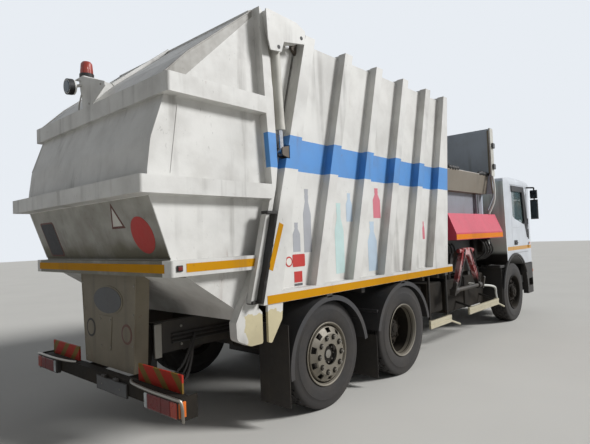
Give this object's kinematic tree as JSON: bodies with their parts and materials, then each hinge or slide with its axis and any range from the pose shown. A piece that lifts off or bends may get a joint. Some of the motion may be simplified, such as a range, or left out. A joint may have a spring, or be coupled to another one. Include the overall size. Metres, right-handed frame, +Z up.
{
  "type": "garbage truck",
  "caption": "Side-loading refuse truck: short cab, ribbed body, domed tailgate that lifts on cylinders, and a bin lifter on the right side.",
  "frame": {"origin": "on the ground under the middle of the truck", "axes": "+X forward, +Y to the truck's left, +Z up"},
  "size_m": [8.86, 2.8642, 3.6679],
  "materials": {
    "chassis_paint": "satin",
    "cast_metal": "rough",
    "white_paint": "gloss, weathered",
    "cab_paint": "gloss",
    "red_paint": "faded",
    "tyre_rubber": "matte",
    "rim_paint": "dusty satin",
    "black_plastic": "matte",
    "grey_plastic": "matte",
    "flap_rubber": "matte",
    "window_glass": "clear",
    "seat_fabric": "woven",
    "lamp_plastic": "clear",
    "guard_metal": "anodised",
    "hazard_film": "reflective",
    "beacon_plastic": "translucent",
    "rod_chrome": "polished"
  },
  "bodies": {
    "chassis": {"body_ribs": "white_paint", "body_shell": "white_paint", "body_subframe": "chassis_paint", "cab_seats": "seat_fabric", "cab_shell": "cab_paint", "cab_windows": "window_glass", "dashboard": "black_plastic", "drive_axle": "cast_metal", "engine_block": "cast_metal", "frame_rails": "chassis_paint", "front_axle_beam": "cast_metal", "front_bumper": "cab_paint", "gate_brackets": "white_paint", "hazard_boards": "hazard_film", "headlamps": "lamp_plastic", "hopper": "white_paint", "lifter_guides": "chassis_paint", "lifter_hood": "red_paint", "light_bar": "chassis_paint", "mirrors": "black_plastic", "mud_flaps": "flap_rubber", "mudguards": "grey_plastic", "side_guards": "guard_metal", "tag_axle": "cast_metal", "tanks_and_boxes": "chassis_paint"},
    "left_steering_knuckle": {"left_knuckle": "cast_metal"},
    "front_left_wheel": {"front_left_tyre": "tyre_rubber", "front_left_rim": "rim_paint"},
    "drive_left_wheels": {"drive_left_tyres": "tyre_rubber", "drive_left_rims": "rim_paint"},
    "tag_left_wheel": {"tag_left_tyre": "tyre_rubber", "tag_left_rim": "rim_paint"},
    "left_cab_door": {"left_door": "cab_paint", "left_door_window": "window_glass"},
    "left_ram_tube": {"left_ram_barrel": "white_paint"},
    "left_ram_piston": {"left_ram_rod": "rod_chrome"},
    "right_steering_knuckle": {"right_knuckle": "cast_metal"},
    "front_right_wheel": {"front_right_tyre": "tyre_rubber", "front_right_rim": "rim_paint"},
    "drive_right_wheels": {"drive_right_tyres": "tyre_rubber", "drive_right_rims": "rim_paint"},
    "tag_right_wheel": {"tag_right_tyre": "tyre_rubber", "tag_right_rim": "rim_paint"},
    "right_cab_door": {"right_door": "cab_paint", "right_door_window": "window_glass"},
    "right_ram_tube": {"right_ram_barrel": "white_paint"},
    "right_ram_piston": {"right_ram_rod": "rod_chrome"},
    "tailgate": {"tailgate_shell": "white_paint", "tailgate_frame": "white_paint", "rear_post": "white_paint", "beacon_bracket": "white_paint", "beacon": "beacon_plastic"},
    "carriage": {"lifter_carriage": "chassis_paint"},
    "arm": {"lifter_arm": "red_paint"},
    "hooks": {"lifter_hooks": "red_paint"}
  },
  "joints": [
    {"name": "left_steering", "type": "hinge", "parent": "chassis", "child": "left_steering_knuckle", "pos_m": [3.06, 0.84, 0.52], "axis": [0, 0, 1], "range_deg": [-35, 35]},
    {"name": "front_left_wheel_spin", "type": "hinge", "parent": "left_steering_knuckle", "child": "front_left_wheel", "pos_m": [3.06, 1.04, 0.52], "axis": [0, 1, 0], "continuous": true},
    {"name": "drive_left_wheels_spin", "type": "hinge", "parent": "chassis", "child": "drive_left_wheels", "pos_m": [-1.06, 0.91, 0.52], "axis": [0, 1, 0], "continuous": true},
    {"name": "tag_left_wheel_spin", "type": "hinge", "parent": "chassis", "child": "tag_left_wheel", "pos_m": [-2.46, 1.05, 0.52], "axis": [0, 1, 0], "continuous": true},
    {"name": "left_door_swing", "type": "hinge", "parent": "chassis", "child": "left_cab_door", "pos_m": [3.866, 1.241, 1.5], "axis": [0, 0, -1], "range_deg": [0, 70]},
    {"name": "left_ram_swing", "type": "hinge", "parent": "tailgate", "child": "left_ram_tube", "pos_m": [-3.05, 1.196, 3.34], "axis": [0, 1, 0], "range_deg": [-82, 2]},
    {"name": "left_ram_stroke", "type": "slide", "parent": "left_ram_tube", "child": "left_ram_piston", "axis": [0.0489, 0, -0.9988], "range_m": [-0.005, 0.445]},
    {"name": "right_steering", "type": "hinge", "parent": "chassis", "child": "right_steering_knuckle", "pos_m": [3.06, -0.84, 0.52], "axis": [0, 0, 1], "range_deg": [-35, 35]},
    {"name": "front_right_wheel_spin", "type": "hinge", "parent": "right_steering_knuckle", "child": "front_right_wheel", "pos_m": [3.06, -1.04, 0.52], "axis": [0, 1, 0], "continuous": true},
    {"name": "drive_right_wheels_spin", "type": "hinge", "parent": "chassis", "child": "drive_right_wheels", "pos_m": [-1.06, -0.91, 0.52], "axis": [0, 1, 0], "continuous": true},
    {"name": "tag_right_wheel_spin", "type": "hinge", "parent": "chassis", "child": "tag_right_wheel", "pos_m": [-2.46, -1.05, 0.52], "axis": [0, 1, 0], "continuous": true},
    {"name": "right_door_swing", "type": "hinge", "parent": "chassis", "child": "right_cab_door", "pos_m": [3.866, -1.241, 1.5], "axis": [0, 0, 1], "range_deg": [0, 70]},
    {"name": "right_ram_swing", "type": "hinge", "parent": "tailgate", "child": "right_ram_tube", "pos_m": [-3.05, -1.196, 3.34], "axis": [0, 1, 0], "range_deg": [-82, 2]},
    {"name": "right_ram_stroke", "type": "slide", "parent": "right_ram_tube", "child": "right_ram_piston", "axis": [0.0489, 0, -0.9988], "range_m": [-0.005, 0.445]},
    {"name": "tailgate_lift", "type": "hinge", "parent": "chassis", "child": "tailgate", "pos_m": [-2.76, 0, 3.5], "axis": [0, 1, 0], "range_deg": [0, 85]},
    {"name": "lifter_reach", "type": "slide", "parent": "chassis", "child": "carriage", "axis": [0, -1, 0], "range_m": [0, 0.9]},
    {"name": "arm_lift", "type": "hinge", "parent": "carriage", "child": "arm", "pos_m": [1.04, -1.15, 1.36], "axis": [-1, 0, 0], "range_deg": [0, 110]},
    {"name": "hook_tilt", "type": "hinge", "parent": "arm", "child": "hooks", "pos_m": [1.04, -1.15, 0.8], "axis": [-1, 0, 0], "range_deg": [0, 60]}
  ],
  "couplings": [
    {"joint": "right_steering", "follows": "left_steering", "ratio": 1},
    {"joint": "left_ram_swing", "follows": "tailgate_lift", "ratio": -0.93706},
    {"joint": "left_ram_stroke", "follows": "tailgate_lift", "m_per_rad": 0.29335},
    {"joint": "right_ram_swing", "follows": "tailgate_lift", "ratio": -0.93706},
    {"joint": "right_ram_stroke", "follows": "tailgate_lift", "m_per_rad": 0.29335}
  ]
}
